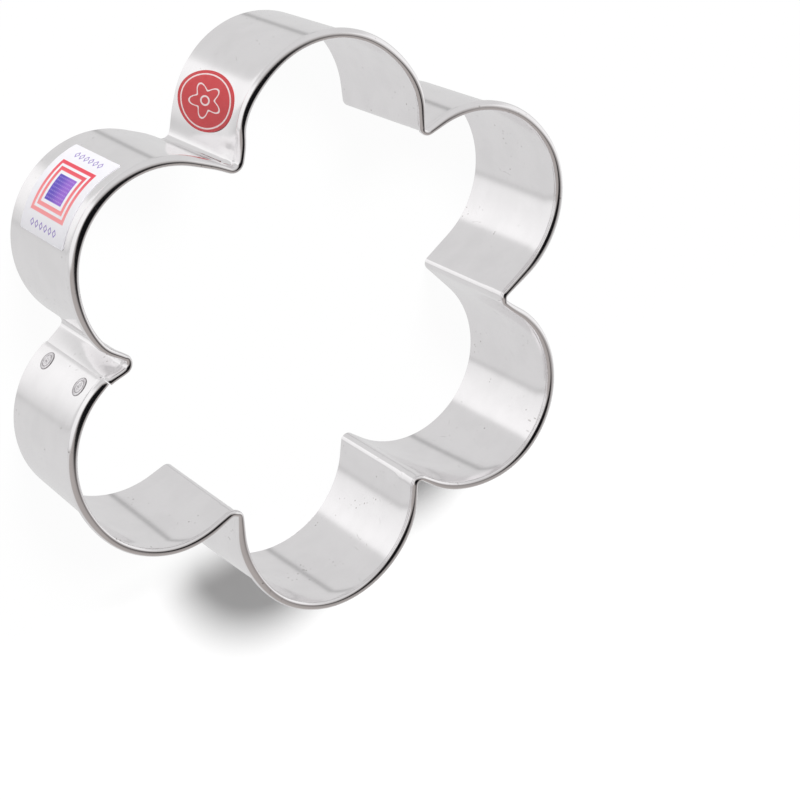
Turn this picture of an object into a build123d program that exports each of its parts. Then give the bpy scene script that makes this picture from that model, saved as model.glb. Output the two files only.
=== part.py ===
from build123d import *
import math
import os

# A flower cookie cutter: one strip of tinplate, bent into six petals, hemmed along its top edge,
# lapped over itself at one notch and held there by two spot welds. Two stickers are on its outside.
# It lies on its cutting edge, +Z up, with its origin at the middle of the flower on that edge.

# Sizes of the strip, in millimetres
cutter_height = 25.4
sheet = 0.3
hem_height = 3.3
hem_nose = 1.6
hem_crease_radius = 1.2
fold_gap = 0.03

# Sizes of the flower, all to the middle of the sheet
petal_count = 6
first_petal_angle = 30.0
petal_spacing = 33.5
notch_reach = 35.8
notch_bend = 1.2
petal_fill_share = 0.988

# The strip is bent by hand round pegs, so each petal and notch strays a little from a true flower.
# Each pair is how far it strays outwards and anticlockwise, as shares of hand_bend.
hand_bend = 1.7
petal_stray_shares = ((-0.3, -0.6), (0.1, -0.5), (-0.2, 0.8), (-0.5, 0.3), (0.2, 0.9), (0.5, -1.0))
notch_stray_shares = ((-0.4, -0.3), (-0.9, 0.1), (0.0, 0.8), (-0.4, 0.7), (1.4, -0.3), (-0.5, -1.1))

# Sizes of the lap, where the end that starts the last petal lies outside the other end
lap_petal = petal_count - 1
lap_gap = 0.05
lap_length = 10.0
outer_end_setback = 1.7
outer_end_corner = 0.8
hem_break = 0.4
tail_clearance = 0.3

# Sizes of the spot welds: each pair is its height as a share of the wall below the hem, and its
# distance from the outer end as a share of lap_length
weld_place_shares = ((0.226, 0.26), (0.842, 0.31))
weld_width = 3.5
weld_bevel = 0.2
weld_bevel_rise = 0.1
weld_dish_depth = 0.16
weld_crater_width = 1.5
weld_crater_height = 0.09
weld_pit_width = 0.6

# Sizes of the two stickers
label_thickness = 0.1
square_label_petal_index = 4
square_label_width = 16.5
square_label_edge_gap = 3.9
square_label_hem_gap = 1.6
square_label_angle = -9.8
square_label_corner = 0.5
oval_label_petal_index = 3
oval_label_width = 9.8
oval_label_edge_gap = 1.2
oval_label_hem_gap = 1.9
oval_label_setback = 0.6

# One overrun serves every cut
overrun = 2.0

# Sizes that follow
lap_step = sheet + lap_gap
petal_angle = 360.0 / petal_count
nose_middle = cutter_height - hem_nose / 2
nose_bend = (hem_nose - sheet) / 2
crease_height = cutter_height - hem_height
weld_floor = -weld_dish_depth


def bearing(vector):
    """The angle of a flat vector, in degrees from +X."""
    return math.degrees(math.atan2(vector.Y, vector.X))


def heading(angle):
    """The flat unit vector that points at an angle in degrees."""
    return Vector(1, 0, 0).rotate(Axis.Z, angle)


def strayed(reach, angle, stray_shares):
    """A point of the flower, moved outwards and anticlockwise by shares of hand_bend."""
    outwards = heading(angle)
    sideways = heading(angle + 90)
    place = outwards * (reach + stray_shares[0] * hand_bend)
    return place + sideways * (stray_shares[1] * hand_bend)


# Middles of the petals' curves, and of the bends in the notches that follow them
petal_middles = []
notch_middles = []
for petal in range(petal_count):
    turned = first_petal_angle + petal * petal_angle
    petal_middles.append(strayed(petal_spacing, turned, petal_stray_shares[petal]))
    notch_angle = turned + petal_angle / 2
    notch_middles.append(strayed(notch_reach + notch_bend, notch_angle, notch_stray_shares[petal]))

# Each petal's curve takes its radius from the room between its middle and its nearer notch
petal_radii = []
for petal in range(petal_count):
    room_after = (notch_middles[petal] - petal_middles[petal]).length
    room_before = (notch_middles[petal - 1] - petal_middles[petal]).length
    petal_radii.append(petal_fill_share * (min(room_after, room_before) - notch_bend))


def flank_angle(petal, notch, radius, side):
    """Where a petal's curve of this radius meets the straight flank that leads to a notch."""
    way = notch_middles[notch] - petal_middles[petal]
    lean = math.degrees(math.acos((radius + notch_bend) / way.length))
    return bearing(way) + side * lean


def on_petal(petal, radius, angle):
    """The point at an angle on a circle about a petal's middle."""
    return petal_middles[petal] + heading(angle) * radius


def in_notch(notch, angle):
    """The point at an angle on a notch's bend."""
    return notch_middles[notch] + heading(angle) * notch_bend


# Angles at which the strip enters and leaves each petal's curve, and where it lies in the lap
enter_angles = [flank_angle(petal, petal - 1, petal_radii[petal], 1) for petal in range(petal_count)]
leave_angles = [flank_angle(petal, petal, petal_radii[petal], -1) for petal in range(petal_count)]
lap_outer_radius = petal_radii[lap_petal]
lap_inner_radius = lap_outer_radius - lap_step
lap_angle = flank_angle(lap_petal, lap_petal - 1, lap_inner_radius, 1)
enter_angles[lap_petal] = lap_angle
lap_outwards = heading(lap_angle)
lap_onwards = heading(lap_angle + 90)


def on_lap(radius, along):
    """A point on the lap's straight flank, this far past the start of the petal's curve."""
    return on_petal(lap_petal, radius, lap_angle) + lap_onwards * along


def petal_run(petal, radius):
    """The arc over one petal, the flank down to the notch after it, and the notch's bend."""
    enter_angle = enter_angles[petal]
    leave_angle = leave_angles[petal]
    next_petal = (petal + 1) % petal_count
    notch_start = leave_angle + 180
    notch_turn = (leave_angle - enter_angles[next_petal]) % 360
    CenterArc(petal_middles[petal], radius, enter_angle, (leave_angle - enter_angle) % 360)
    Line(on_petal(petal, radius, leave_angle), in_notch(petal, notch_start))
    CenterArc(notch_middles[petal], notch_bend, notch_start, -notch_turn)


def cross_section(start, outwards):
    """The upright plane across the strip: its own X points outwards and its own Y up."""
    onwards = outwards.rotate(Axis.Z, 90)
    return Plane(origin=start, x_dir=outwards, z_dir=-onwards)


# Middle line of the hemmed edge, seen across the strip: up the wall, out to the round nose,
# over it, and down inside to the raw edge that lies against the wall
nose_lean = math.asin(nose_bend / (nose_middle - crease_height))
fold_foot = sheet + fold_gap
fold_way = math.hypot(fold_foot, nose_middle - crease_height)
fold_lean = math.asin(nose_bend / fold_way) - math.atan(fold_foot / (nose_middle - crease_height))

# The band, from its outer end right round to the end of its hem, and then the tail under the lap
outer_end = on_lap(lap_outer_radius, -outer_end_setback)
hem_end = on_lap(lap_inner_radius, -outer_end_setback - hem_break)
curve_start = on_lap(lap_inner_radius, 0)
tail_turn = math.degrees((lap_length - outer_end_setback) / lap_inner_radius)

with BuildPart() as cutter_band:
    with BuildLine() as strip_path:
        Line(outer_end, on_petal(lap_petal, lap_outer_radius, lap_angle))
        petal_run(lap_petal, lap_outer_radius)
        for petal in range(lap_petal):
            Line(
                in_notch(petal - 1, enter_angles[petal] + 180),
                on_petal(petal, petal_radii[petal], enter_angles[petal]),
            )
            petal_run(petal, petal_radii[petal])
        Line(in_notch(lap_petal - 1, lap_angle + 180), hem_end)
    with BuildSketch(cross_section(outer_end, lap_outwards)):
        with BuildLine() as hem_line:
            wall_line = Line((0, 0), (0, crease_height))
            outer_touch = (nose_bend * math.cos(nose_lean), nose_middle - nose_bend * math.sin(nose_lean))
            inner_touch = (-nose_bend * math.cos(fold_lean), nose_middle - nose_bend * math.sin(fold_lean))
            Line(wall_line @ 1, outer_touch)
            ThreePointArc(outer_touch, (0, nose_middle + nose_bend), inner_touch)
            Line(inner_touch, (-fold_foot, crease_height))
            crease = hem_line.vertices().filter_by_position(Axis.Y, crease_height, crease_height)
            fillet(crease.sort_by(Axis.X)[-1], hem_crease_radius)
        trace(line_width=sheet)
    sweep(path=strip_path.line)
    with BuildLine() as tail_path:
        Line(hem_end, curve_start)
        CenterArc(petal_middles[lap_petal], lap_inner_radius, lap_angle, tail_turn)
    with BuildSketch(cross_section(hem_end, lap_outwards)):
        Rectangle(sheet, crease_height - tail_clearance, align=(Align.CENTER, Align.MIN))
    sweep(path=tail_path.line)
    fillet(cutter_band.edges().sort_by_distance(outer_end)[0], outer_end_corner)


def weld_plane(height, end_setback):
    """The plane on the lap's outer face at the middle of a weld, facing outwards."""
    past_start = end_setback - outer_end_setback
    outwards = heading(lap_angle + math.degrees(past_start / lap_outer_radius))
    face = petal_middles[lap_petal] + outwards * (lap_outer_radius + sheet / 2)
    return Plane(origin=face + Vector(0, 0, height), x_dir=outwards.rotate(Axis.Z, 90), z_dir=outwards)


weld_planes = []
for height_share, setback_share in weld_place_shares:
    weld_planes.append(weld_plane(height_share * crease_height, setback_share * lap_length))
lap_depth = sheet + lap_step
with cutter_band:
    for plane in weld_planes:
        with BuildSketch(plane):
            Circle(weld_width / 2)
        extrude(amount=lap_depth + overrun / 2, both=True, mode=Mode.SUBTRACT)
cutter_band.part.label = "cutter_band"


# Two welds: each is a plug of melted tin and steel through both layers, dished on its outer face,
# with a low crater and a pit in the middle of the dish
with BuildPart() as spot_welds:
    for plane in weld_planes:
        with BuildSketch(plane):
            Circle(weld_width / 2)
        extrude(amount=lap_depth + overrun / 2, both=True)
    with BuildSketch(Plane(petal_middles[lap_petal])):
        Circle(lap_outer_radius + sheet / 2)
        Circle(lap_inner_radius - sheet / 2, mode=Mode.SUBTRACT)
    extrude(amount=cutter_height, mode=Mode.INTERSECT)
    for plane in weld_planes:
        across = Plane(origin=plane.origin, x_dir=plane.x_dir, z_dir=-plane.y_dir)
        with BuildSketch(across):
            with BuildLine():
                Polyline(
                    (0, overrun),
                    (0, weld_floor),
                    (weld_pit_width / 2, weld_floor + weld_crater_height),
                    (weld_crater_width / 2, weld_floor),
                    (weld_width / 2 - weld_bevel, weld_floor),
                    (weld_width / 2 + weld_bevel, weld_bevel_rise),
                    (weld_width / 2 + weld_bevel, overrun),
                    close=True,
                )
            make_face()
        revolve(axis=Axis(plane.origin, plane.z_dir), mode=Mode.SUBTRACT)
spot_welds.part.label = "spot_welds"


def label_face_radius(petal):
    """The radius of a petal's outer face, on which its sticker lies."""
    return petal_radii[petal] + sheet / 2


# The square sticker follows its petal's curve, and stops short of the cutting edge and of the hem
square_radius = label_face_radius(square_label_petal_index)
square_axis = first_petal_angle + square_label_petal_index * petal_angle
square_span = math.degrees(square_label_width / square_radius)
square_start = square_axis + square_label_angle - square_span / 2
square_label_height = crease_height - square_label_hem_gap - square_label_edge_gap
with BuildPart() as square_label:
    with BuildSketch(Plane.XY.offset(square_label_edge_gap)):
        with BuildLine():
            middle = petal_middles[square_label_petal_index]
            inner_arc = CenterArc(middle, square_radius, square_start, square_span)
            outer_arc = CenterArc(middle, square_radius + label_thickness, square_start, square_span)
            Line(inner_arc @ 0, outer_arc @ 0)
            Line(inner_arc @ 1, outer_arc @ 1)
        make_face()
    extrude(amount=square_label_height)
    corners = square_label.edges().group_by(Edge.length)[0]
    fillet(corners, square_label_corner)
square_label.part.label = "square_label"


# The oval sticker's middle is a little before the end of its petal's curve, so it runs off the curve
# on to the straight flank beside the notch
oval_middle = petal_middles[oval_label_petal_index]
oval_leave = leave_angles[oval_label_petal_index]
oval_radius = label_face_radius(oval_label_petal_index)
oval_axis_angle = oval_leave - math.degrees(oval_label_setback / oval_radius)
oval_label_height = crease_height - oval_label_hem_gap - oval_label_edge_gap
oval_label_middle = oval_label_edge_gap + oval_label_height / 2
with BuildPart() as oval_label:
    with BuildSketch():
        with BuildLine():
            start = oval_axis_angle - math.degrees(oval_label_width / oval_radius)
            CenterArc(oval_middle, oval_radius + label_thickness / 2, start, (oval_leave - start) % 360)
            curve_end = oval_middle + heading(oval_leave) * (oval_radius + label_thickness / 2)
            Line(curve_end, curve_end + heading(oval_leave + 90) * oval_label_width)
        trace(line_width=label_thickness)
    extrude(amount=cutter_height)
    outwards = heading(oval_axis_angle)
    face = oval_middle + outwards * oval_radius + Vector(0, 0, oval_label_middle)
    with BuildSketch(Plane(origin=face, x_dir=outwards.rotate(Axis.Z, 90), z_dir=outwards)):
        Ellipse(oval_label_width / 2, oval_label_height / 2)
    extrude(amount=overrun, both=True, mode=Mode.INTERSECT)
oval_label.part.label = "oval_label"

os.makedirs("parts", exist_ok=True)
for piece in (cutter_band, spot_welds, square_label, oval_label):
    export_step(piece.part, f"parts/{piece.part.label}.step")
    box = piece.part.bounding_box()
    print(piece.part.label, len(piece.part.solids()), round(piece.part.volume, 2), box)
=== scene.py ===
# %% [markdown]
# # A bent tinplate flower cutter
# The cutter is one long strip of tinplate. Its lower edge is plain and cuts the dough, its upper edge
# is folded inwards into a round hem that is safe to press on, and its two ends lap and are spot
# welded. The CAD model gives the sizes and the places. This script dresses it: it bends the strip
# again from one cross-section, adds what hands and tools leave on real sheet metal, and lights it so
# that the bright tin has something to mirror. The CAD model is loaded first.

# %% Load the frame
import math

import bmesh
import bpy
from mathutils import Matrix, Vector, noise


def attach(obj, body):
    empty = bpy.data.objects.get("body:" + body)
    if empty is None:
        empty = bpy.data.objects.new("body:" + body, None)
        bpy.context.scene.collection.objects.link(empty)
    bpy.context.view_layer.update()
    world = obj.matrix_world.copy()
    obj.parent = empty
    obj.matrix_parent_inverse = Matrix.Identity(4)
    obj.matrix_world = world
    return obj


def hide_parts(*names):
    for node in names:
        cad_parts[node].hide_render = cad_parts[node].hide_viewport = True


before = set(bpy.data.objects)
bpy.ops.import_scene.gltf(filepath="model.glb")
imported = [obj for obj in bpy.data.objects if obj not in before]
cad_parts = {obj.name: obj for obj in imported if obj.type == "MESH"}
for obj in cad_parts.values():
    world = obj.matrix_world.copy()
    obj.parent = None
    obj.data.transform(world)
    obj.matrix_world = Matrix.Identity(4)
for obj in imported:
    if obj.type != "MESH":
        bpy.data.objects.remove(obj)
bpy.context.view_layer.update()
MM = 0.001
print("CAD nodes:", sorted(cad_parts))

# %% [markdown]
# ## The camera
# The view is that of a long lens held high over one petal and rolled well over to the side, so the
# flower seems to stand on its tips. A camera can be aimed with angles or with a matrix. A matrix is
# used here, because three arrows are easy to read: to the right, down, and straight ahead.

# %% Place the camera
camera_place = Vector((-8.85, -191.22, 291.77)) * MM
camera_right = Vector((-0.437734, 0.718603, 0.54037))
camera_down = Vector((0.897977, 0.319328, 0.302764))
camera_ahead = Vector((0.045012, 0.61777, -0.78507))

lens = bpy.data.cameras.new("long_lens")
lens.lens = 88.61
lens.sensor_width = 36.0
lens.clip_start = 0.01
camera = bpy.data.objects.new("camera", lens)
turned = Matrix((camera_right, -camera_down, -camera_ahead)).transposed()
camera.matrix_world = Matrix.Translation(camera_place) @ turned.to_4x4()
bpy.context.scene.collection.objects.link(camera)
bpy.context.scene.camera = camera
bpy.context.scene.view_settings.view_transform = "Standard"
print("Camera is", round(camera_place.length / MM), "mm from the origin")

# %% [markdown]
# ## Small helpers for nodes
# Every material is a tree of nodes. Adding a node, filling in its inputs and drawing its links takes
# three lines each time, so one helper does all of it: an input is given either a value or the output
# socket of another node, and is named as in Blender, with a low line for a blank, or by its number
# after a low line. Colours are written as they look on a screen and made linear here.

# %% Helpers for node trees


def fill(tree, socket, value):
    """Sets an input to a value, or links it to another node's socket."""
    if isinstance(value, bpy.types.NodeSocket):
        tree.links.new(value, socket)
    else:
        socket.default_value = value


def add(tree, kind, settings=None, **inputs):
    """A new node, with its settings and its inputs. An input may be a value or another node's socket."""
    made = tree.nodes.new(kind)
    for name, value in (settings or {}).items():
        setattr(made, name, value)
    for name, value in inputs.items():
        place = int(name[1:]) if name[1:].isdigit() else name.replace("_", " ")
        fill(tree, made.inputs[place], value)
    return made


def maths(tree, operation, *values):
    """One sum, with its values in order, and gives back its result."""
    made = add(tree, "ShaderNodeMath", {"operation": operation})
    for socket, value in zip(made.inputs, values):
        fill(tree, socket, value)
    return made.outputs[0]


def ramp(tree, value, low, high, out_low=0.0, out_high=1.0, kind="SMOOTHSTEP"):
    """Runs softly from out_low to out_high as value goes from low to high."""
    ends = {"From_Min": low, "From_Max": high, "To_Min": out_low, "To_Max": out_high}
    made = add(tree, "ShaderNodeMapRange", {"interpolation_type": kind}, Value=value, **ends)
    return made.outputs["Result"]


def band(tree, value, low, high, soft):
    """A mask that is 1 between low and high, with soft edges."""
    rise = ramp(tree, value, low - soft, low + soft)
    fall = ramp(tree, value, high - soft, high + soft)
    return maths(tree, "SUBTRACT", rise, fall)


def blend(tree, mask, below, above):
    """One colour over another, by a mask."""
    return add(tree, "ShaderNodeMix", {"data_type": "RGBA"}, _0=mask, _6=below, _7=above).outputs[2]


def linear(red, green, blue):
    """A colour as seen on a screen, from 0 to 255, as Blender's linear colour."""
    parts = []
    for level in (red, green, blue):
        share = level / 255
        parts.append(share / 12.92 if share <= 0.04045 else ((share + 0.055) / 1.055) ** 2.4)
    return (*parts, 1.0)


def grey(level):
    """A linear grey."""
    return (level, level, level, 1.0)


# %% [markdown]
# ## The light
# Polished tin has almost no colour of its own. What gives it shape is what it mirrors, so the light
# is planned as a photographer plans a tent: a pale room all round, one brighter panel on the near
# side, a thin dark seam where two sheets of the tent meet, and an open gap overhead, long and dark,
# that draws the black line along the hem. Softboxes round the object would do, but upright walls seen
# from above mirror only what is below the horizon, where the floor is in the way. So the room is
# painted on the world instead, and only mirror rays see its panels: all else is lit by a plain white
# sky. Higher up, the room is dusky on one side and has a bright window on the other. The gap is drawn
# on a chart: straight up is its middle, and the distance from there is the angle down from the top,
# in degrees.

# %% The tent that the tin mirrors
radians = math.radians
room_light = grey(0.73)
panel_edges = (radians(-107), radians(-52))
panel_soft = radians(4)
panel_bright = 1.05
panel_dim = 0.92
panel_fade = (radians(-95), radians(-55))
panel_top = 0.35
panel_top_soft = 0.15
panel_flare_start = -0.87
panel_flare = radians(450)
panel_line = (radians(-49.5), radians(-44.5))
panel_line_soft = radians(2)
line_light = grey(0.62)
seam_tilt = 3.28
seam_height = -0.766
seam_half_width = radians(3.2)
seam_soft = radians(2.5)
seam_light = grey(0.44)
line_heights = (-0.95, -0.375)
line_end_soft = 0.02
gap_middle = (0.0, -12.0)
gap_reach = (26.0, 52.0)
gap_edge = (0.72, 1.1)
halo_edge = (0.9, 1.9)
halo_share = 0.9
halo_colour = (0.38, 0.355, 0.345, 1.0)
dusk_bearing = radians(15)
dusk_cosines = (0.15, 0.5)
dusk_heights = (-0.25, 0.15)
dusk_colour = (0.44, 0.41, 0.395, 1.0)
window_bearing = radians(132)
window_cosines = (0.86, 0.97)
window_heights = (-0.45, -0.2)
window_light = grey(0.98)
gap_colour = (0.004, 0.004, 0.005, 1.0)
sky_strength = 0.37

world = bpy.data.worlds.new("light_tent")
bpy.context.scene.world = world
world.use_nodes = True
tree = world.node_tree
tree.nodes.clear()
way = add(tree, "ShaderNodeTexCoord").outputs["Generated"]
parts = add(tree, "ShaderNodeSeparateXYZ", Vector=way).outputs
bearing = maths(tree, "ARCTAN2", parts["Y"], parts["X"])
behind_x = maths(tree, "MULTIPLY", parts["X"], -1.0)
behind_y = maths(tree, "MULTIPLY", parts["Y"], -1.0)
bearing_behind = maths(tree, "ARCTAN2", behind_y, behind_x)
from_top = maths(tree, "DEGREES", maths(tree, "ARCCOSINE", parts["Z"]))
chart_x = maths(tree, "MULTIPLY", from_top, maths(tree, "COSINE", bearing))
chart_y = maths(tree, "MULTIPLY", from_top, maths(tree, "SINE", bearing))
gap_x = maths(tree, "DIVIDE", maths(tree, "SUBTRACT", chart_x, gap_middle[0]), gap_reach[0])
gap_y = maths(tree, "DIVIDE", maths(tree, "SUBTRACT", chart_y, gap_middle[1]), gap_reach[1])
gap_squares = maths(tree, "MULTIPLY_ADD", gap_y, gap_y, maths(tree, "MULTIPLY", gap_x, gap_x))
gap_away = maths(tree, "SQRT", gap_squares)

above = ramp(tree, parts["Z"], *window_heights)
dusk_turn = maths(tree, "COSINE", maths(tree, "SUBTRACT", bearing, dusk_bearing))
dusk_high = ramp(tree, parts["Z"], *dusk_heights)
dusk = maths(tree, "MULTIPLY", ramp(tree, dusk_turn, *dusk_cosines), dusk_high)
light = blend(tree, dusk, room_light, dusk_colour)
window_turn = maths(tree, "COSINE", maths(tree, "SUBTRACT", bearing, window_bearing))
window = maths(tree, "MULTIPLY", ramp(tree, window_turn, *window_cosines), above)
light = blend(tree, window, light, window_light)
light = blend(tree, ramp(tree, gap_away, *halo_edge, halo_share, 0.0), light, halo_colour)

panel_level = ramp(tree, bearing, *panel_fade, panel_bright, panel_dim, "LINEAR")
panel_colour = add(tree, "ShaderNodeCombineColor", Red=panel_level, Green=panel_level, Blue=panel_level)
below_top = ramp(tree, parts["Z"], panel_top - panel_top_soft, panel_top + panel_top_soft, 1.0, 0.0)
flare = maths(tree, "MAXIMUM", maths(tree, "SUBTRACT", panel_flare_start, parts["Z"]), 0.0)
flared = maths(tree, "MULTIPLY_ADD", flare, panel_flare, bearing)
panel = maths(tree, "MULTIPLY", band(tree, flared, *panel_edges, panel_soft), below_top)
light = blend(tree, panel, light, panel_colour.outputs[0])

below = band(tree, parts["Z"], *line_heights, line_end_soft)
line = maths(tree, "MULTIPLY", band(tree, bearing, *panel_line, panel_line_soft), below)
light = blend(tree, line, light, line_light)
drop = maths(tree, "MULTIPLY", maths(tree, "SUBTRACT", parts["Z"], seam_height), seam_tilt)
seam_place = maths(tree, "SUBTRACT", bearing_behind, drop)
seam_mask = band(tree, seam_place, -seam_half_width, seam_half_width, seam_soft)
seam = maths(tree, "MULTIPLY", seam_mask, below)
light = blend(tree, seam, light, seam_light)
light = blend(tree, ramp(tree, gap_away, *gap_edge, 1.0, 0.0), light, gap_colour)

mirrored = add(tree, "ShaderNodeBackground", Color=light, Strength=1.0)
sky = add(tree, "ShaderNodeBackground", Color=grey(1.0), Strength=sky_strength)
white = add(tree, "ShaderNodeBackground", Color=grey(1.0), Strength=1.0)
ray = add(tree, "ShaderNodeLightPath").outputs
lit = add(tree, "ShaderNodeMixShader", _0=ray["Is Glossy Ray"], _1=sky.outputs[0], _2=mirrored.outputs[0])
seen = add(tree, "ShaderNodeMixShader", _0=ray["Is Camera Ray"], _1=lit.outputs[0], _2=white.outputs[0])
add(tree, "ShaderNodeOutputWorld", Surface=seen.outputs[0])
print("World nodes:", len(tree.nodes))

# %% [markdown]
# One wide, soft lamp from behind the camera's shoulder gives the floor its shadow. A sun lamp is used,
# because its light is even over the whole object. It is kept out of the mirror rays, or each curve of
# the tin would carry a round spot.

# %% The lamp
lamp_bearing = radians(-150)
lamp_height = radians(58)
lamp_strength = 2.95
lamp_softness = radians(20)
sun = bpy.data.lights.new("soft_sun", "SUN")
sun.energy = lamp_strength
sun.angle = lamp_softness
lamp = bpy.data.objects.new("soft_sun", sun)
flat_share = math.cos(lamp_height)
from_lamp = Vector(
    (math.cos(lamp_bearing) * flat_share, math.sin(lamp_bearing) * flat_share, math.sin(lamp_height))
)
lamp.rotation_euler = from_lamp.to_track_quat("Z", "Y").to_euler()
lamp.visible_glossy = False
bpy.context.scene.collection.objects.link(lamp)
print("Lamp shines from", [round(part, 2) for part in from_lamp])

# %% [markdown]
# ## The floor
# The cutter stands on a white sheet. To the eye the sheet glows with painted light that whitens out the
# object's shadow on this side of the last petal, inside the flower too. Towards the last petal the glow
# fades, and past it the sheet glows no more, so the shadow lies only there. The tin's own mirror rays
# pass the sheet by and meet the tent.

# %% Floor
floor_size = 3.0
# Painted light: short of the nearer end the sheet glows and whitens out the object's shadow, past the
# farther end it glows no more
painted_light_bearing = radians(45)
painted_light_ends = (40 * MM, 51 * MM)
painted_light_most = 0.96
sheet_white = grey(0.9)
floor_mesh = bpy.data.meshes.new("white_sheet")
bm = bmesh.new()
bmesh.ops.create_grid(bm, x_segments=1, y_segments=1, size=floor_size / 2)
bm.to_mesh(floor_mesh)
bm.free()
floor = bpy.data.objects.new("white_sheet", floor_mesh)
bpy.context.scene.collection.objects.link(floor)
floor.visible_glossy = False

paper = bpy.data.materials.new("white_sheet")
paper.use_nodes = True
tree = paper.node_tree
tree.nodes.clear()
matt = add(tree, "ShaderNodeBsdfDiffuse", Color=sheet_white)
glow = add(tree, "ShaderNodeEmission", Color=grey(1.0), Strength=1.0)
ray = add(tree, "ShaderNodeLightPath").outputs
shown = maths(tree, "ADD", ray["Is Camera Ray"], ray["Is Glossy Ray"])
shown = maths(tree, "MINIMUM", maths(tree, "ADD", shown, ray["Is Transmission Ray"]), 1.0)
spot = add(tree, "ShaderNodeTexCoord").outputs["Object"]
parts = add(tree, "ShaderNodeSeparateXYZ", Vector=spot).outputs
past_x = maths(tree, "MULTIPLY", parts["X"], math.cos(painted_light_bearing))
past = maths(tree, "MULTIPLY_ADD", parts["Y"], math.sin(painted_light_bearing), past_x)
# The painted light fades out towards the last petal, so the object's shadow shows only past it
painted_light_share = maths(tree, "MULTIPLY", shown, ramp(tree, past, *painted_light_ends, painted_light_most, 0.0))
mixed = add(tree, "ShaderNodeMixShader", _0=painted_light_share, _1=matt.outputs[0], _2=glow.outputs[0])
add(tree, "ShaderNodeOutputMaterial", Surface=mixed.outputs[0])
floor_mesh.materials.append(paper)
print("Floor is", floor_size, "m wide, with", len(tree.nodes), "nodes")

# %% [markdown]
# ## Effects that several finishes share
# Rolled tinplate has a fine grain along the strip, cloudy patches where the tin froze a little
# differently, and small scratches and specks from the bending tools. Each effect is a node group with
# named sockets, built once, so that every finish can use it at its own strength.

# %% Group: rolled grain
even = (1.0, 1.0, 1.0)
grain_stretch = (60.0, 2600.0, 2600.0)
cloud_scale = 160.0


def new_group(name, inputs, outputs):
    """An empty shader group with float or vector sockets, and its own input and output nodes."""
    group = bpy.data.node_groups.new(name, "ShaderNodeTree")
    for socket, kind, value in inputs:
        made = group.interface.new_socket(socket, in_out="INPUT", socket_type="NodeSocket" + kind)
        if kind == "Float":
            made.default_value = value
    for socket in outputs:
        group.interface.new_socket(socket, in_out="OUTPUT", socket_type="NodeSocketFloat")
    return group, group.nodes.new("NodeGroupInput").outputs, group.nodes.new("NodeGroupOutput").inputs


def noise_at(tree, place, stretch, scale, detail=2.0, roughness=0.5):
    """Noise that can be stretched along the three directions of a place."""
    stretched = add(tree, "ShaderNodeMapping", Vector=place, Scale=stretch).outputs[0]
    looks = {"Scale": scale, "Detail": detail, "Roughness": roughness}
    return add(tree, "ShaderNodeTexNoise", Vector=stretched, **looks).outputs["Fac"]


grain_group, given, wanted = new_group(
    "rolled_grain", [("Place", "Vector", None), ("Fineness", "Float", 1.0)], ("Grain", "Cloud")
)
lines = noise_at(grain_group, given["Place"], grain_stretch, 1.0, 3.0, 0.6)
clouds = noise_at(grain_group, given["Place"], even, cloud_scale, 3.0, 0.55)
power = maths(grain_group, "POWER", lines, given["Fineness"])
grain_group.links.new(power, wanted["Grain"])
grain_group.links.new(clouds, wanted["Cloud"])
print("Group rolled_grain has", len(grain_group.nodes), "nodes")

# %% Group: scratches and specks
scratch_sets = ((0.35, (900.0, 55.0, 900.0)), (-0.6, (1100.0, 70.0, 1100.0)))
scratch_bend = 0.004
scratch_bend_scale = 140.0
scratch_edge = (0.05, 0.13)
scratch_patch_scale = 90.0
scratch_patch_edge = (0.52, 0.62)
speck_scale = 900.0
speck_edge = (0.08, 0.2)
speck_patch_scale = 120.0
speck_patch_edge = (0.56, 0.66)

marks_group, given, wanted = new_group(
    "tool_marks", [("Place", "Vector", None), ("Amount", "Float", 1.0)], ("Scratches", "Specks")
)
place = given["Place"]
bent = add(marks_group, "ShaderNodeTexNoise", Vector=place, Scale=scratch_bend_scale, Detail=1.0)
both = {"_4": place, "_5": bent.outputs["Color"]}
shifted = add(marks_group, "ShaderNodeMix", {"data_type": "VECTOR"}, _0=scratch_bend, **both).outputs[1]
scratch_masks = []
for turn, stretch in scratch_sets:
    aimed = add(marks_group, "ShaderNodeMapping", Vector=shifted, Rotation=(0, 0, turn)).outputs[0]
    cells = add(marks_group, "ShaderNodeMapping", Vector=aimed, Scale=stretch).outputs[0]
    edges = add(marks_group, "ShaderNodeTexVoronoi", Vector=cells, Scale=1.0).outputs["Distance"]
    scratch_masks.append(ramp(marks_group, edges, *scratch_edge, 1.0, 0.0))
either = maths(marks_group, "MAXIMUM", *scratch_masks)
rare = noise_at(marks_group, place, even, scratch_patch_scale, 1.0)
scratches = maths(marks_group, "MULTIPLY", either, ramp(marks_group, rare, *scratch_patch_edge))
dots = add(marks_group, "ShaderNodeTexVoronoi", Vector=place, Scale=speck_scale).outputs["Distance"]
dot = ramp(marks_group, dots, *speck_edge, 1.0, 0.0)
flecked = noise_at(marks_group, place, even, speck_patch_scale, 1.0)
specks = maths(marks_group, "MULTIPLY", dot, ramp(marks_group, flecked, *speck_patch_edge))
for socket, mask in (("Scratches", scratches), ("Specks", specks)):
    marks_group.links.new(maths(marks_group, "MULTIPLY", mask, given["Amount"]), wanted[socket])
print("Group tool_marks has", len(marks_group.nodes), "nodes")


def use_group(tree, group, **inputs):
    """A group placed in a material."""
    return add(tree, "ShaderNodeGroup", {"node_tree": group}, **inputs).outputs


def new_finish(name):
    """A material with an empty tree."""
    made = bpy.data.materials.new(name)
    made.use_nodes = True
    made.node_tree.nodes.clear()
    return made, made.node_tree


def shade(tree, colour, rough, relief, **more):
    """The one shader of a finish, and the tree's output."""
    looks = {"Base_Color": colour, "Roughness": rough, "Normal": relief.outputs[0], **more}
    shader = add(tree, "ShaderNodeBsdfPrincipled", **looks)
    add(tree, "ShaderNodeOutputMaterial", Surface=shader.outputs[0])


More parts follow.
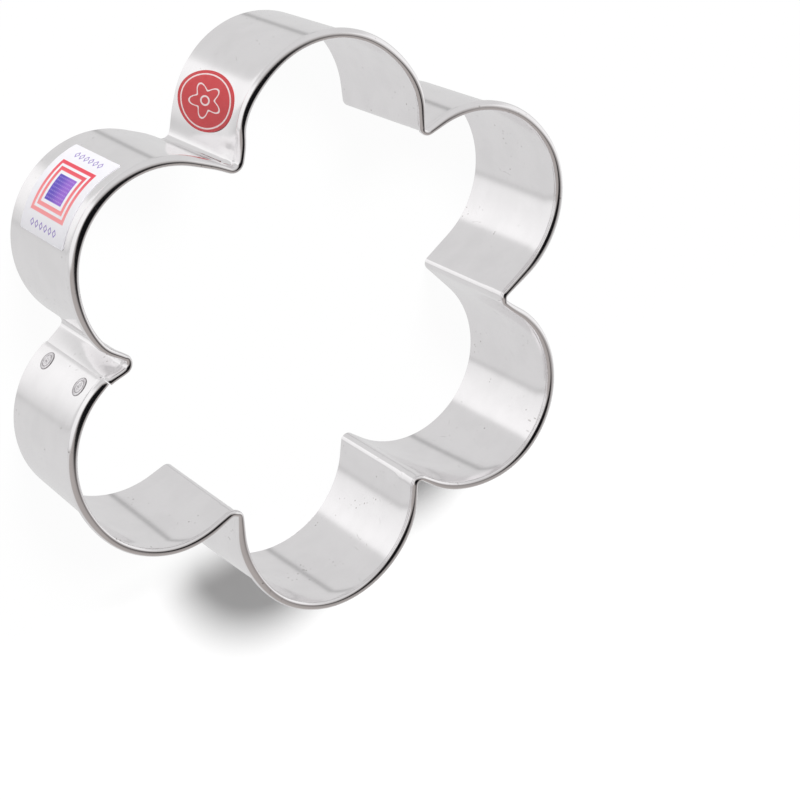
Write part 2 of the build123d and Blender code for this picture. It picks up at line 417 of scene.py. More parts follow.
# %% [markdown]
# ## The bright tin
# Tin is a white metal with a faintly warm cast. The shader is fully metallic and fairly smooth, its
# roughness follows the grain and the clouds, and the scratches catch the light through a tiny bump.
# The pattern has to follow the strip round every bend. Object coordinates would cut across it, so the
# strip carries two attributes that are laid down while it is bent: how far along it a point is, and
# how far up.

# %% Finish: tinplate
tin_colour = linear(243, 241, 242)
tin_dull = linear(239, 237, 238)
tin_roughness = (0.12, 0.16)
speck_colour = linear(150, 145, 140)
speck_share = 0.6
scratch_colour = linear(170, 165, 162)
scratch_share = 0.22
scratch_roughness = 0.12
grain_relief = 0.25

tinplate, tree = new_finish("bright_tinplate")
along = add(tree, "ShaderNodeAttribute", {"attribute_name": "along"}).outputs["Fac"]
up = add(tree, "ShaderNodeAttribute", {"attribute_name": "girth"}).outputs["Fac"]
place = add(tree, "ShaderNodeCombineXYZ", X=along, Y=up).outputs[0]
rolled = use_group(tree, grain_group, Place=place, Fineness=1.0)
marks = use_group(tree, marks_group, Place=place, Amount=1.0)
colour = blend(tree, ramp(tree, rolled["Cloud"], 0.35, 0.7), tin_colour, tin_dull)
colour = blend(tree, maths(tree, "MULTIPLY", marks["Specks"], speck_share), colour, speck_colour)
colour = blend(tree, maths(tree, "MULTIPLY", marks["Scratches"], scratch_share), colour, scratch_colour)
rough = ramp(tree, rolled["Grain"], 0.3, 0.7, *tin_roughness, "LINEAR")
rough = maths(tree, "ADD", rough, maths(tree, "MULTIPLY", marks["Scratches"], scratch_roughness))
height = maths(tree, "SUBTRACT", maths(tree, "MULTIPLY", rolled["Grain"], grain_relief), marks["Scratches"])
relief = add(tree, "ShaderNodeBump", Height=height, Strength=0.12, Distance=0.02 * MM)
shade(tree, colour, rough, relief, Metallic=1.0)
print("Finish bright_tinplate has", len(tree.nodes), "nodes")

# %% [markdown]
# ## The spot weld metal
# Where the current went through, tin and steel melted together. The spot is greyer and duller than
# the strip, and mottled.

# %% Finish: weld metal
weld_bare = (linear(240, 238, 240), linear(216, 211, 214))
weld_scorched = (linear(104, 96, 100), linear(68, 60, 66))
mottle_scale = 2200.0
weld_metal, tree = new_finish("weld_metal")
spot = add(tree, "ShaderNodeTexCoord").outputs["Object"]
rolled = use_group(tree, grain_group, Place=spot, Fineness=1.0)
mottle = noise_at(tree, spot, even, mottle_scale, 3.0, 0.6)
burnt = add(tree, "ShaderNodeAttribute", {"attribute_name": "burn"}).outputs["Fac"]
bare = blend(tree, ramp(tree, mottle, 0.35, 0.7), *weld_bare)
scorched = blend(tree, ramp(tree, mottle, 0.4, 0.6), *weld_scorched)
colour = blend(tree, burnt, bare, scorched)
rough = ramp(tree, rolled["Cloud"], 0.3, 0.7, 0.2, 0.3, "LINEAR")
relief = add(tree, "ShaderNodeBump", Height=mottle, Strength=0.25, Distance=0.05 * MM)
shade(tree, colour, rough, relief, Metallic=1.0)
print("Finish weld_metal has", len(tree.nodes), "nodes")

# %% [markdown]
# ## The flower's plan
# Six petals and six notches, each an arc, joined by straight flanks. The strip was bent by hand round
# pegs, so every arc strays a little from a true flower: the shares below say how far, outwards and
# anticlockwise. These sizes are in millimetres, and the CAD model's own but for the hem's finer shape.

# %% Plan of the flower
cutter_height = 25.4
sheet = 0.3
hem_height = 3.3
hem_rise = 2.7
hem_return = 1.2
hem_crease_radius = 0.6
fold_gap = 0.03
petal_count = 6
first_petal_angle = 30.0
petal_spacing = 33.5
notch_reach = 35.8
notch_bend = 1.2
petal_fill_share = 0.988
hand_bend = 1.7
petal_stray_shares = ((-0.3, -0.6), (0.1, -0.5), (-0.2, 0.8), (-0.5, 0.3), (0.2, 0.9), (0.5, -1.0))
notch_stray_shares = ((-0.4, -0.3), (-0.9, 0.1), (0.0, 0.8), (-0.4, 0.7), (1.4, -0.3), (-0.5, -1.1))
lap_petal = petal_count - 1
lap_gap = 0.05
lap_length = 10.0
outer_end_setback = 1.7
outer_end_corner = 0.8
hem_break = 0.15
tail_clearance = 0.3


def heading(angle):
    """The flat unit vector at an angle in degrees."""
    return Vector((math.cos(radians(angle)), math.sin(radians(angle)), 0.0))


def bearing_of(vector):
    """The angle of a flat vector in degrees."""
    return math.degrees(math.atan2(vector.y, vector.x))


def strayed(reach, angle, shares):
    """A point of the flower, moved outwards and anticlockwise by its shares of the hand bend."""
    place = heading(angle) * (reach + shares[0] * hand_bend)
    return place + heading(angle + 90) * (shares[1] * hand_bend)


petal_middles = []
notch_middles = []
for petal in range(petal_count):
    axis_angle = first_petal_angle + petal * 360 / petal_count
    petal_middles.append(strayed(petal_spacing, axis_angle, petal_stray_shares[petal]))
    notch_angle = axis_angle + 180 / petal_count
    notch_middles.append(strayed(notch_reach + notch_bend, notch_angle, notch_stray_shares[petal]))

petal_radii = []
for petal in range(petal_count):
    room_after = (notch_middles[petal] - petal_middles[petal]).length
    room_before = (notch_middles[petal - 1] - petal_middles[petal]).length
    petal_radii.append(petal_fill_share * (min(room_after, room_before) - notch_bend))


def flank_angle(petal, notch, radius, side):
    """Where a petal's curve meets the straight flank that leads to a notch."""
    reach = notch_middles[notch] - petal_middles[petal]
    lean = math.degrees(math.acos((radius + notch_bend) / reach.length))
    return bearing_of(reach) + side * lean


enter_angles = [flank_angle(petal, petal - 1, petal_radii[petal], 1) for petal in range(petal_count)]
leave_angles = [flank_angle(petal, petal, petal_radii[petal], -1) for petal in range(petal_count)]
lap_outer_radius = petal_radii[lap_petal]
lap_inner_radius = lap_outer_radius - sheet - lap_gap
lap_angle = flank_angle(lap_petal, lap_petal - 1, lap_inner_radius, 1)
enter_angles[lap_petal] = lap_angle
lap_outwards = heading(lap_angle)
lap_onwards = heading(lap_angle + 90)
print("Petal radii in mm:", [round(radius, 2) for radius in petal_radii])

# %% [markdown]
# ## The strip's cross-section
# The strip is drawn as its middle line only: up the wall, out through the soft crease, over the round
# nose and down inside to the raw edge. One vertex is extruded again and again, and turned about a
# middle where the sheet bends. The hem is rolled over a die petal by petal, so it isn't the same all
# round: in some places it keeps its round shape and stands out, in others it is pressed flatter and
# inwards. Both shapes are drawn with the same points. The strip is bent from the pressed one, and each
# point remembers how far it is from its place in the round one. The sheet gets its thickness at the
# very end.

# %% Draw the cross-section
pressed_foot = sheet + fold_gap
pressed_hem = {
    "outer bend": (0.9, -0.11),
    "inner bend": (0.37, -0.13),
    "raw edge": (pressed_foot, hem_return),
    "crease": (hem_rise, hem_crease_radius),
}
round_hem = {
    "outer bend": (0.5, 0.41),
    "inner bend": (0.55, 0.21),
    "raw edge": (0.355, 0.72),
    "crease": (1.25, 0.25),
}
nose_top = cutter_height - sheet / 2
crease_height = cutter_height - hem_height
tail_top = crease_height - tail_clearance
foot_rows = (0.12, 0.3, 0.55, 0.8)
low_wall = 16.4
low_rows = 11
high_rows = 14
crease_steps = 3
nose_steps = 11
hem_rows = 3
upright = Vector((0.0, 0.0, 1.0))


def tangent_lean(start, middle, bend, side):
    """The lean, in radians, of a straight run from a start up to a bend, to one side of the strip."""
    run = middle - start
    return side * math.atan2(run.x, run.z) + math.asin(bend / run.xz.length)


class Strip:
    """The strip while it is made: its mesh, its newest edge loop, and how far along it that is."""

    def __init__(self):
        self.bm = bmesh.new()
        for name in ("along", "girth", "facing", "reach", "round_out", "round_up"):
            setattr(self, name, self.bm.verts.layers.float.new(name))
        self.front = []
        self.length = 0.0


def draw_on(strip, vertex, step):
    """Extrudes one vertex by a step."""
    new = bmesh.ops.extrude_vert_indiv(strip.bm, verts=[vertex])["verts"][0]
    bmesh.ops.translate(strip.bm, verts=[new], vec=step)
    new[strip.girth] = vertex[strip.girth] + step.length
    return new


def draw_line(strip, vertex, end, rows):
    """Extrudes a vertex to an end point in equal rows."""
    step = (end - vertex.co) / rows
    for _ in range(rows):
        vertex = draw_on(strip, vertex, step)
    return vertex


def draw_bend(strip, vertex, middle, angle, steps):
    """Extrudes a vertex round a middle, seen along the strip."""
    turn = Matrix.Rotation(angle / steps, 3, "Y")
    for _ in range(steps):
        old = vertex.co.copy()
        new = bmesh.ops.extrude_vert_indiv(strip.bm, verts=[vertex])["verts"][0]
        bmesh.ops.rotate(strip.bm, verts=[new], cent=middle, matrix=turn)
        new[strip.girth] = vertex[strip.girth] + (new.co - old).length
        vertex = new
    return vertex


def draw_section(strip, hem):
    """The whole cross-section, from the cutting edge to the hem's raw edge."""
    outer_bend, outer_shift = hem["outer bend"]
    inner_bend, inner_shift = hem["inner bend"]
    foot, turned_in = hem["raw edge"]
    drop, crease_bend = hem["crease"]
    outer_middle = Vector((outer_shift, 0.0, nose_top - outer_bend))
    inner_middle = Vector((inner_shift, 0.0, nose_top - inner_bend))
    raw_edge = Vector((-foot, 0.0, cutter_height - turned_in))
    crease_place = Vector((0.0, 0.0, cutter_height - drop))
    nose_lean = tangent_lean(crease_place, outer_middle, outer_bend, 1)
    fold_lean = tangent_lean(raw_edge, inner_middle, inner_bend, -1)
    crease_start = crease_place.z - crease_bend * math.tan(nose_lean / 2)
    crease_middle = Vector((crease_bend, 0.0, crease_start))
    outer_touch = outer_middle + Vector((math.cos(nose_lean), 0.0, -math.sin(nose_lean))) * outer_bend
    point = strip.bm.verts.new((0.0, 0.0, 0.0))
    for row in foot_rows:
        point = draw_line(strip, point, upright * row, 1)
    point = draw_line(strip, point, upright * low_wall, low_rows)
    point = draw_line(strip, point, upright * tail_top, high_rows)
    point = draw_line(strip, point, upright * crease_start, 1)
    point = draw_bend(strip, point, crease_middle, nose_lean, crease_steps)
    point = draw_line(strip, point, outer_touch, hem_rows)
    point = draw_bend(strip, point, outer_middle, -math.pi / 2 - nose_lean, nose_steps)
    point = draw_line(strip, point, Vector((inner_shift, 0.0, nose_top)), 1)
    point = draw_bend(strip, point, inner_middle, -math.pi / 2 - fold_lean, nose_steps)
    draw_line(strip, point, raw_edge, hem_rows)


strip = Strip()
draw_section(strip, pressed_hem)
rounder = Strip()
draw_section(rounder, round_hem)
for point, round_point in zip(list(strip.bm.verts), list(rounder.bm.verts)):
    point[strip.reach] = point.co.x
    point[strip.round_out] = round_point.co.x - point.co.x
    point[strip.round_up] = round_point.co.z - point.co.z
rounder.bm.free()
strip.front = list(strip.bm.edges)
print("Cross-section has", len(strip.bm.verts), "points")

# %% [markdown]
# ## Bending the strip
# The section is set upright at the strip's outer end and then swept: extruded along each flank and
# turned about the middle of each petal and notch, a short step at a time. Spinning the whole arc at
# once would be shorter, but step by step each new row can be told how far along the strip it lies and
# which way it faces, which the grain and the buckles need. After the last notch the hem stops short,
# and only the wall goes on, under the lap.

# %% Sweep the section round the flower
arc_step = 2.3
notch_step = 8.5
flank_step = 0.45


def next_row(strip, edges, distance):
    """Extrudes the front edges in place, and marks the new row with its distance along the strip."""
    made = bmesh.ops.extrude_edge_only(strip.bm, edges=edges)["geom"]
    points = [item for item in made if isinstance(item, bmesh.types.BMVert)]
    strip.length += distance
    for point in points:
        point[strip.along] = strip.length
    made_edges = [item for item in made if isinstance(item, bmesh.types.BMEdge)]
    strip.front = [edge for edge in made_edges if set(edge.verts) <= set(points)]
    return points


def go_straight(strip, way, distance, steps):
    """Sweeps the front along a flank."""
    for _ in range(steps):
        points = next_row(strip, strip.front, distance / steps)
        bmesh.ops.translate(strip.bm, verts=points, vec=way * (distance / steps))


def go_round(strip, middle, radius, angle, step):
    """Sweeps the front round a middle by an angle in degrees."""
    steps = max(1, round(abs(angle) / step))
    turn = Matrix.Rotation(radians(angle / steps), 3, "Z")
    for _ in range(steps):
        points = next_row(strip, strip.front, radius * radians(abs(angle) / steps))
        bmesh.ops.rotate(strip.bm, verts=points, cent=middle, matrix=turn)
        for point in points:
            point[strip.facing] += angle / steps


def go_along_flank(strip, start, end):
    """Sweeps the front along the straight flank between two points."""
    flank = end - start
    go_straight(strip, flank.normalized(), flank.length, max(2, round(flank.length / flank_step)))


def run_to_notch(strip, petal, radius):
    """Petal curve, flank, and the notch's bend that follows."""
    leave = leave_angles[petal]
    following = (petal + 1) % petal_count
    go_round(strip, petal_middles[petal], radius, (leave - enter_angles[petal]) % 360, arc_step)
    start = petal_middles[petal] + heading(leave) * radius
    end = notch_middles[petal] - heading(leave) * notch_bend
    go_along_flank(strip, start, end)
    bend = (leave - enter_angles[following]) % 360
    notch_places.append(strip.length + notch_bend * radians(bend) / 2)
    go_round(strip, notch_middles[petal], notch_bend, -bend, notch_step)


notch_places = []
outer_end = petal_middles[lap_petal] + lap_outwards * lap_outer_radius - lap_onwards * outer_end_setback
stand = Matrix.Translation(outer_end) @ Matrix.Rotation(radians(lap_angle), 4, "Z")
bmesh.ops.transform(strip.bm, matrix=stand, verts=strip.bm.verts)
for point in strip.bm.verts:
    point[strip.facing] = lap_angle
go_straight(strip, lap_onwards, outer_end_setback, 2)
run_to_notch(strip, lap_petal, lap_outer_radius)
for petal in range(lap_petal):
    start = notch_middles[petal - 1] - heading(enter_angles[petal]) * notch_bend
    end = petal_middles[petal] + heading(enter_angles[petal]) * petal_radii[petal]
    go_along_flank(strip, start, end)
    run_to_notch(strip, petal, petal_radii[petal])
start = notch_middles[lap_petal - 1] - lap_outwards * notch_bend
curve_start = petal_middles[lap_petal] + lap_outwards * lap_inner_radius
hem_end = curve_start - lap_onwards * (outer_end_setback + hem_break)
go_along_flank(strip, start, hem_end)
hem_end_along = strip.length

wall_top = tail_top + fold_gap
strip.front = [edge for edge in strip.front if max(point.co.z for point in edge.verts) < wall_top]
go_straight(strip, lap_onwards, outer_end_setback + hem_break, 3)
tail_turn = math.degrees((lap_length - outer_end_setback) / lap_inner_radius)
go_round(strip, petal_middles[lap_petal], lap_inner_radius, tail_turn, arc_step)
print("Strip is", round(strip.length, 1), "mm long with", len(strip.bm.faces), "faces")

# %% [markdown]
# ## What bending does to the sheet
# A real strip is never quite true. Its wall is faintly wavy, which makes the reflections swim, and
# here and there the rim was pulled out or pushed in by hand, most of all at the lapped end. In each
# notch the hem is too stiff to follow the sharp bend, so it is crushed: its nose gets narrow, the wall
# under it dents, and small creases fan out. All of this is done by moving points along the way that
# they face, so the two layers of the hem move together. The outer end's lower corner is clipped round.

# %% Waves, buckles and the clipped corner
wave_height = 0.02
wave_lengths = (9.0, 26.0)
buckle_depth = 0.16
buckle_reach = 0.8
buckle_offset = 1.9
buckle_drop = 2.4
buckle_vary = 0.25
buckle_step = 2.3
crinkle_height = 0.16
crinkle_reach = 3.2
crinkle_middle = 0.3
crinkle_scales = (0.8, 0.55)
pinch_share = 0.45
pinch_reach = 5.0
rolling_height = 0.008
rolling_length = 30
rolling_scale = 5
round_bearing = 70.0
round_cosines = (-0.2, 0.4)
wall_lean = 1.5
rim_lean = 10.0
pattern_seed = 7.0
lap_start = hem_end_along + hem_break


def petal_place(petal, share):
    """A place along the strip, at a share of a petal's length. The strip starts on the last petal."""
    ends = [0.0, *notch_places]
    turn = (petal + 1) % petal_count
    return ends[turn] + share * (ends[turn + 1] - ends[turn])


hand_pulls = (
    (0.5, (2.6, 15.0), (0.0, 0.8), wall_lean),
    (petal_place(0, 0.22), (11.0, 14.0), (0.0, -0.8), wall_lean),
    (petal_place(0, 0.75), (10.0, 8.0), (0.0, -0.15), wall_lean),
    (petal_place(1, 0.2), (9.0, 9.0), (0.0, -0.5), wall_lean),
    (petal_place(1, 0.88), (7.0, 3.5), (0.0, 0.6), wall_lean),
    (petal_place(3, 0.1), (4.0, 7.0), (0.0, 0.3), wall_lean),
    (petal_place(3, 0.88), (6.0, 2.4), (0.0, 0.8), rim_lean),
    (petal_place(3, 1.0), (3.4, 2.4), (-0.5, -0.3), wall_lean),
    (petal_place(4, 0.3), (16.0, 16.0), (0.0, -0.15), rim_lean),
    (petal_place(4, 0.9), (6.0, 3.0), (0.0, 0.55), rim_lean),
    (petal_place(4, 1.0), (2.2, 2.2), (0.0, -0.4), wall_lean),
    (petal_place(5, 0.76), (13.0, 7.0), (0.0, 0.4), wall_lean),
)


def bump_at(distance, reach):
    """A smooth bump that is 1 in its middle."""
    return math.exp(-((distance / reach) ** 2))


def way_from(place, along):
    """How far a point is past a place, on the strip closed by its lap."""
    return min((along + turn * lap_start - place for turn in (-1, 0, 1)), key=abs)


def pulled_by(along, up):
    """How far outwards the hand has pulled a point, at the foot and at the top."""
    pull = 0.0
    for place, reaches, (at_foot, at_top), lean in hand_pulls:
        distance = way_from(place, along)
        amount = at_foot + (at_top - at_foot) * (up / cutter_height) ** lean
        pull += amount * bump_at(distance, reaches[0] if distance < 0 else reaches[1])
    return pull


def bent_by(along, up):
    """How far outwards a point of the strip strays, in millimetres."""
    place = Vector((along / wave_lengths[0], up / wave_lengths[1], pattern_seed))
    stray = wave_height * noise.noise(place) + pulled_by(along, up)
    under_hem = bump_at(up - crease_height + buckle_drop / 2, buckle_drop)
    for number, middle in enumerate(notch_places):
        distance = way_from(middle, along)
        if abs(distance) > 4 * crinkle_reach:
            continue
        for side in (-1, 1):
            vary = buckle_vary * math.sin(number * buckle_step + side)
            depth = buckle_depth * (1 - buckle_vary + vary)
            stray -= depth * under_hem * bump_at(distance - side * buckle_offset, buckle_reach)
        spot = Vector((along * crinkle_scales[0], up * crinkle_scales[1], pattern_seed + number))
        crease = crinkle_middle - abs(noise.noise(spot))
        stray += crinkle_height * crease * under_hem * bump_at(distance, crinkle_reach)
    return stray


def roundness(facing):
    """How far the hem kept its round shape, from 0 where it was pressed to 1."""
    low, high = round_cosines
    share = (math.cos(radians(facing - round_bearing)) - low) / (high - low)
    share = min(1.0, max(0.0, share))
    return share * share * (3 - 2 * share)


for point in strip.bm.verts:
    along = point[strip.along]
    up = min(point.co.z, nose_top)
    round_share = roundness(point[strip.facing])
    out = round_share * point[strip.round_out]
    pinch = max(pinch_share * bump_at(way_from(middle, along), pinch_reach) for middle in notch_places)
    reach = point[strip.reach] + out
    out -= pinch * (max(0.0, reach) + min(0.0, reach + pressed_foot))
    place = Vector((along / rolling_length, point[strip.girth] * rolling_scale, pattern_seed))
    rolled = rolling_height * noise.noise(place) * min(1.0, max(0.0, up - crease_height))
    point.co += heading(point[strip.facing]) * (out + rolled + bent_by(along, up))
    point.co += upright * (round_share * point[strip.round_up] + rolled)
    if along < outer_end_corner / 4 and point.co.z < outer_end_corner:
        rise = outer_end_corner - point.co.z
        clip = outer_end_corner - math.sqrt(outer_end_corner**2 - rise**2)
        point.co += lap_onwards * clip
print("Notches lie at", [round(place, 1) for place in notch_places], "mm along the strip")

# %% [markdown]
# ## Thickness, and the finished band
# Solidify gives the middle line its 0.3 mm, half to each side, as real sheet has it. A small bevel
# takes the sharpness off the sheared edges. Both are applied, and the mesh is brought to metres.

# %% Finish the band
edge_round = 0.05
sharp_angle = radians(50)


def keep_mesh(name, bm):
    """A bmesh in millimetres as an object in metres, at the origin."""
    bmesh.ops.scale(bm, vec=(MM, MM, MM), verts=bm.verts)
    mesh = bpy.data.meshes.new(name)
    bm.to_mesh(mesh)
    bm.free()
    made = bpy.data.objects.new(name, mesh)
    bpy.context.scene.collection.objects.link(made)
    return made


def apply_modifiers(piece):
    """Bakes a piece's modifiers into its mesh."""
    ready = piece.evaluated_get(bpy.context.evaluated_depsgraph_get())
    mesh = bpy.data.meshes.new_from_object(ready)
    piece.modifiers.clear()
    piece.data = mesh


for point in strip.bm.verts:
    point[strip.along] *= MM
    point[strip.girth] *= MM
cutter_strip = keep_mesh("cutter_strip", strip.bm)
thicken = cutter_strip.modifiers.new("thickness", "SOLIDIFY")
thicken.thickness = sheet * MM
thicken.offset = 0.0
thicken.use_even_offset = True
soften = cutter_strip.modifiers.new("soft_edges", "BEVEL")
soften.width = edge_round * MM
soften.segments = 2
soften.use_clamp_overlap = False
soften.limit_method = "ANGLE"
soften.angle_limit = sharp_angle
apply_modifiers(cutter_strip)
bm = bmesh.new()
bm.from_mesh(cutter_strip.data)
bmesh.ops.recalc_face_normals(bm, faces=bm.faces)
bm.to_mesh(cutter_strip.data)
open_edges = sum(1 for edge in bm.edges if not edge.is_manifold)
bm.free()
cutter_strip.data.shade_smooth()
cutter_strip.data.set_sharp_from_angle(angle=sharp_angle)
cutter_strip.data.materials.append(tinplate)
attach(cutter_strip, "root")
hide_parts("cutter_band")
cutter_strip.data.calc_loop_triangles()
print("Band:", len(cutter_strip.data.loop_triangles), "triangles,", open_edges, "open edges")

# %% [markdown]
# ## The stickers
# Both stickers keep their CAD shape and get a printed face. Their patterns are drawn by sums on
# Object coordinates, turned into a place on the paper: how far round the petal, and how high.

# %% Place on a sticker


def place_on_sticker(tree, middle, radius, middle_angle, middle_height):
    """Millimetres round the petal and up, from the sticker's middle."""
    spot = add(tree, "ShaderNodeTexCoord").outputs["Object"]
    moved = add(tree, "ShaderNodeVectorMath", {"operation": "SUBTRACT"}, _0=spot, _1=middle * MM)
    parts = add(tree, "ShaderNodeSeparateXYZ", Vector=moved.outputs[0]).outputs
    away = heading(middle_angle)
    across = heading(middle_angle + 90)
    ahead = []
    for way in (away, across):
        part_x = maths(tree, "MULTIPLY", parts["X"], way.x)
        ahead.append(maths(tree, "MULTIPLY_ADD", parts["Y"], way.y, part_x))
    turn = maths(tree, "ARCTAN2", ahead[1], ahead[0])
    round_mm = maths(tree, "MULTIPLY", turn, radius)
    up_mm = maths(tree, "MULTIPLY_ADD", parts["Z"], 1 / MM, -middle_height)
    return round_mm, up_mm


def either_of(tree, masks):
    """Where any of the masks is."""
    found = masks[0]
    for mask in masks[1:]:
        found = maths(tree, "MAXIMUM", found, mask)
    return found


# %% [markdown]
# The white sticker has a print of its own: frames that fade from red to pink round a violet square
# with pale dots, and a row of small violet lozenges on either side.

# %% Finish: white sticker
white_petal = 4
white_middle_angle = first_petal_angle + white_petal * 360 / petal_count - 9.8
white_middle_height = 12.2
print_reach = (4.7, 6.2)
print_soft = 0.05
frame_shares = ((0.86, 1.0), (0.62, 0.76))
square_share = 0.5
lozenge_place = 6.5
lozenge_pitch = 1.7
lozenge_sizes = (0.42, 0.68)
lozenge_row = 5.1
fade_reach = 4.0
dots_per_mm = 1.6
fibre_scale = 1500.0

white_radius = petal_radii[white_petal] + sheet / 2
white_sticker, tree = new_finish("white_sticker")
across, up = place_on_sticker(
    tree, petal_middles[white_petal], white_radius, white_middle_angle, white_middle_height
)
share_across = maths(tree, "DIVIDE", maths(tree, "ABSOLUTE", across), print_reach[0])
share_up = maths(tree, "DIVIDE", maths(tree, "ABSOLUTE", up), print_reach[1])
out_share = maths(tree, "MAXIMUM", share_across, share_up)
frames = [band(tree, out_share, low, high, 0.01) for low, high in frame_shares]
fade = ramp(tree, across, -fade_reach, fade_reach, kind="LINEAR")
frame_colour = blend(tree, fade, linear(232, 48, 74), linear(250, 150, 152))
paper_colour = linear(240, 239, 244)
colour = blend(tree, either_of(tree, frames), paper_colour, frame_colour)
flat = add(tree, "ShaderNodeCombineXYZ", X=across, Y=up).outputs[0]
dot_grid = add(tree, "ShaderNodeTexVoronoi", Vector=flat, Scale=dots_per_mm, Randomness=0.0)
dots = ramp(tree, dot_grid.outputs["Distance"], 0.14, 0.28, 1.0, 0.0)
ink = blend(tree, ramp(tree, up, -2.0, 2.0), linear(74, 40, 188), linear(146, 84, 208))
ink = blend(tree, maths(tree, "MULTIPLY", dots, 0.5), ink, linear(214, 190, 240))
colour = blend(tree, ramp(tree, out_share, square_share - 0.01, square_share + 0.01, 1.0, 0.0), colour, ink)
beside = maths(tree, "SUBTRACT", maths(tree, "ABSOLUTE", across), lozenge_place)
along_row = maths(tree, "PINGPONG", maths(tree, "ADD", up, lozenge_pitch / 2), lozenge_pitch / 2)
lozenge_share = maths(tree, "ADD", maths(tree, "ABSOLUTE", beside), along_row)
lozenges = band(tree, lozenge_share, *lozenge_sizes, print_soft)
lozenges = maths(tree, "MULTIPLY", lozenges, band(tree, up, -lozenge_row, lozenge_row, print_soft))
colour = blend(tree, lozenges, colour, linear(128, 92, 190))
spot = add(tree, "ShaderNodeTexCoord").outputs["Object"]
fibres = noise_at(tree, spot, even, fibre_scale, 3.0, 0.6)
colour = blend(tree, maths(tree, "MULTIPLY", fibres, 0.06), colour, grey(0.6))
relief = add(tree, "ShaderNodeBump", Height=fibres, Strength=0.1, Distance=0.03 * MM)
rough = ramp(tree, fibres, 0.3, 0.7, 0.42, 0.52, "LINEAR")
shade(tree, colour, rough, relief)
print("Finish white_sticker has", len(tree.nodes), "nodes")

# %% [markdown]
# The red sticker is glossy film: a thin pale ring inside its edge, and a flower drawn in one line. The
# sticker is an oval on the wall, so the ring and the flower are squeezed as well, and look round from
# the camera.

# %% Finish: red sticker
red_petal = 3
red_size = Vector((9.8, 19.0))
red_setback = 0.6
red_middle_height = 10.7
red_squash = red_size.x / red_size.y
ring_radius = 8.3
ring_half_width = 0.22
flower_radius = 4.3
flower_wave = 1.15
flower_petals = 5
line_half_width = 0.26
line_soft = 0.1
heart_radius = 1.35
wear_scale = 700.0

red_radius = petal_radii[red_petal] + sheet / 2
red_middle_angle = leave_angles[red_petal] - math.degrees(red_setback / red_radius)
red_sticker, tree = new_finish("red_sticker")
across, up = place_on_sticker(
    tree, petal_middles[red_petal], red_radius, red_middle_angle, red_middle_height
)
wide_across = maths(tree, "DIVIDE", across, red_squash)
squares = maths(tree, "MULTIPLY_ADD", up, up, maths(tree, "MULTIPLY", wide_across, wide_across))
distance = maths(tree, "SQRT", squares)
turn = maths(tree, "MULTIPLY", maths(tree, "ARCTAN2", up, wide_across), float(flower_petals))
petal_line = maths(tree, "MULTIPLY_ADD", maths(tree, "COSINE", turn), flower_wave, flower_radius)
from_line = maths(tree, "SUBTRACT", distance, petal_line)
pale = [
    band(tree, from_line, -line_half_width, line_half_width, line_soft),
    band(tree, distance, heart_radius - line_half_width, heart_radius + line_half_width, line_soft),
    band(tree, distance, ring_radius - ring_half_width, ring_radius + ring_half_width, line_soft),
]
colour = blend(tree, either_of(tree, pale), linear(206, 26, 38), linear(246, 226, 226))
spot = add(tree, "ShaderNodeTexCoord").outputs["Object"]
wear = noise_at(tree, spot, even, wear_scale, 2.0)
rough = ramp(tree, wear, 0.3, 0.7, 0.28, 0.4, "LINEAR")
relief = add(tree, "ShaderNodeBump", Height=wear, Strength=0.08, Distance=0.03 * MM)
shade(tree, colour, rough, relief)

for node, finish, slot in (
    ("square_label", white_sticker, "white_paper_label"),
    ("oval_label", red_sticker, "red_vinyl_label"),
):
    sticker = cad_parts[node]
    sticker.data.materials.clear()
    sticker.data.materials.append(finish)
print("Stickers dressed: square_label and oval_label")

# %% [markdown]
# ## The spot welds
# Each weld is a round mark left by the electrode: a raised lip, two steps, and a rough crater with a
# pit. It starts as a circle that is extruded through both layers of the lap. Its two ends are inset
# ring by ring, close together where the profile is steep, and the rings are moved to the profile, so
# the plug stays closed.

# %% Model the welds
weld_place_shares = ((0.226, 0.26), (0.86, 0.3))
weld_width = 3.3
weld_segments = 72
weld_shares = (0.98, 0.955, 0.915, 0.893, 0.87, 0.83, 0.81, 0.79, 0.74, 0.7, 0.678, 0.655, 0.62, 0.6, 0.58)
weld_heights = (
    (1.0, -0.01),
    (0.955, 0.1),
    (0.915, 0.1),
    (0.87, 0.01),
    (0.83, 0.01),
    (0.79, 0.06),
    (0.7, 0.065),
    (0.655, 0.01),
    (0.62, 0.01),
    (0.58, 0.07),
    (0.0, 0.04),
)
crater_shares = tuple(0.54 - 0.045 * step for step in range(12))
crater_radius = 0.36
crater_height = 0.07
crater_rim_reach = 0.09
crater_ragged = 0.5
grit_height = 0.11
grit_reach = 0.5
grit_scale = 5
grit_step = 3.1
pit_radius = 0.12
pit_depth = 0.05
inner_share = 0.7
burn_rings = ((0.95, 0.045, 0.85), (0.64, 0.05, 0.6), (0.0, 0.2, 0.6))


def height_from(table, share):
    """Reads a height from a table of shares that go down."""
    for (high, high_value), (low, low_value) in zip(table, table[1:]):
        if share >= low:
            return low_value + (high_value - low_value) * (share - low) / (high - low)
    return table[-1][1]


def weld_profile(share, angle, number):
    """Height of the mark over the strip, at a share of its radius."""
    height = height_from(weld_heights, share)
    spot_x = math.cos(angle) * share * grit_scale
    spot_y = math.sin(angle) * share * grit_scale
    spot = Vector((spot_x, spot_y, number * grit_step))
    ragged = crater_radius * (1 + crater_ragged * noise.noise(spot * 0.5))
    rim = crater_height * bump_at(share - ragged, crater_rim_reach)
    grit = grit_height * noise.noise(spot) * bump_at(share, grit_reach)
    return height + rim + grit - pit_depth * bump_at(share, pit_radius)


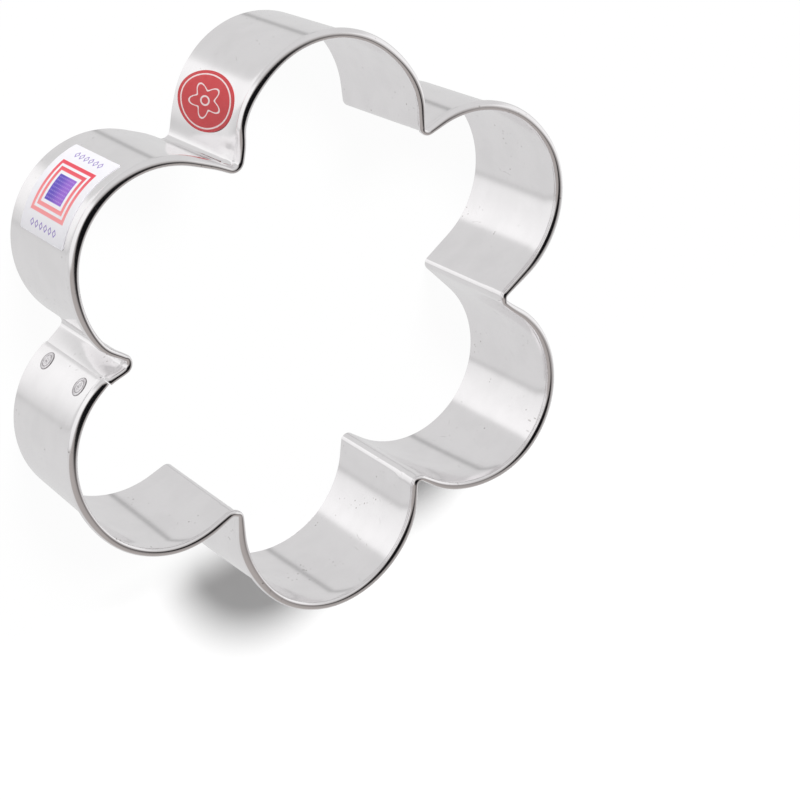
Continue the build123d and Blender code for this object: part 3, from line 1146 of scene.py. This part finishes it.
def weld_plug(bm, burn, height_share, setback_share, number):
    """One weld through both layers of the lap, wrapped round the petal."""
    height = height_share * crease_height
    past_end = setback_share * lap_length
    angle = lap_angle + math.degrees((past_end - outer_end_setback) / lap_outer_radius)
    depth = 2 * sheet + lap_gap
    radius = weld_width / 2
    made = bmesh.ops.create_circle(bm, cap_ends=True, radius=radius, segments=weld_segments)
    plug = set(made["verts"])
    outer = next(iter(made["verts"][0].link_faces))
    pushed = bmesh.ops.extrude_face_region(bm, geom=[outer], use_keep_orig=True)["geom"]
    far_points = [item for item in pushed if isinstance(item, bmesh.types.BMVert)]
    plug.update(far_points)
    bmesh.ops.translate(bm, verts=far_points, vec=(0, 0, -depth))
    ends = [outer] + [item for item in pushed if isinstance(item, bmesh.types.BMFace)]
    for end in ends:
        last = 1.0
        for share in weld_shares + crater_shares:
            before = set(bm.verts)
            bmesh.ops.inset_region(bm, faces=[end], thickness=(last - share) * radius)
            plug.update(set(bm.verts) - before)
            last = share
        plug.update(bmesh.ops.poke(bm, faces=[end])["verts"])
    for point in plug:
        share = min(1.0, point.co.xy.length / radius)
        turn = math.atan2(point.co.y, point.co.x)
        if point.co.z > -depth / 2:
            lift = weld_profile(share, turn, number)
        else:
            lift = -inner_share * weld_profile(share, turn, number + 5) - depth
        point[burn] = max(most * bump_at(share - ring, reach) for ring, reach, most in burn_rings)
        lift += bent_by(past_end + point.co.x, height + point.co.y)
        lap_turn = angle + math.degrees(point.co.x / lap_outer_radius)
        place = petal_middles[lap_petal] + heading(lap_turn) * (lap_outer_radius + sheet / 2 + lift)
        point.co = place + upright * (height + point.co.y)


bm = bmesh.new()
burn = bm.verts.layers.float.new("burn")
for number, shares in enumerate(weld_place_shares):
    weld_plug(bm, burn, *shares, number)
bmesh.ops.recalc_face_normals(bm, faces=bm.faces)
open_edges = sum(1 for edge in bm.edges if not edge.is_manifold)
weld_marks = keep_mesh("weld_marks", bm)
weld_marks.data.shade_smooth()
weld_marks.data.set_sharp_from_angle(angle=radians(60))
weld_marks.data.materials.append(weld_metal)
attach(weld_marks, "root")
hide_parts("spot_welds")
print("Welds:", len(weld_marks.data.polygons), "faces,", open_edges, "open edges")
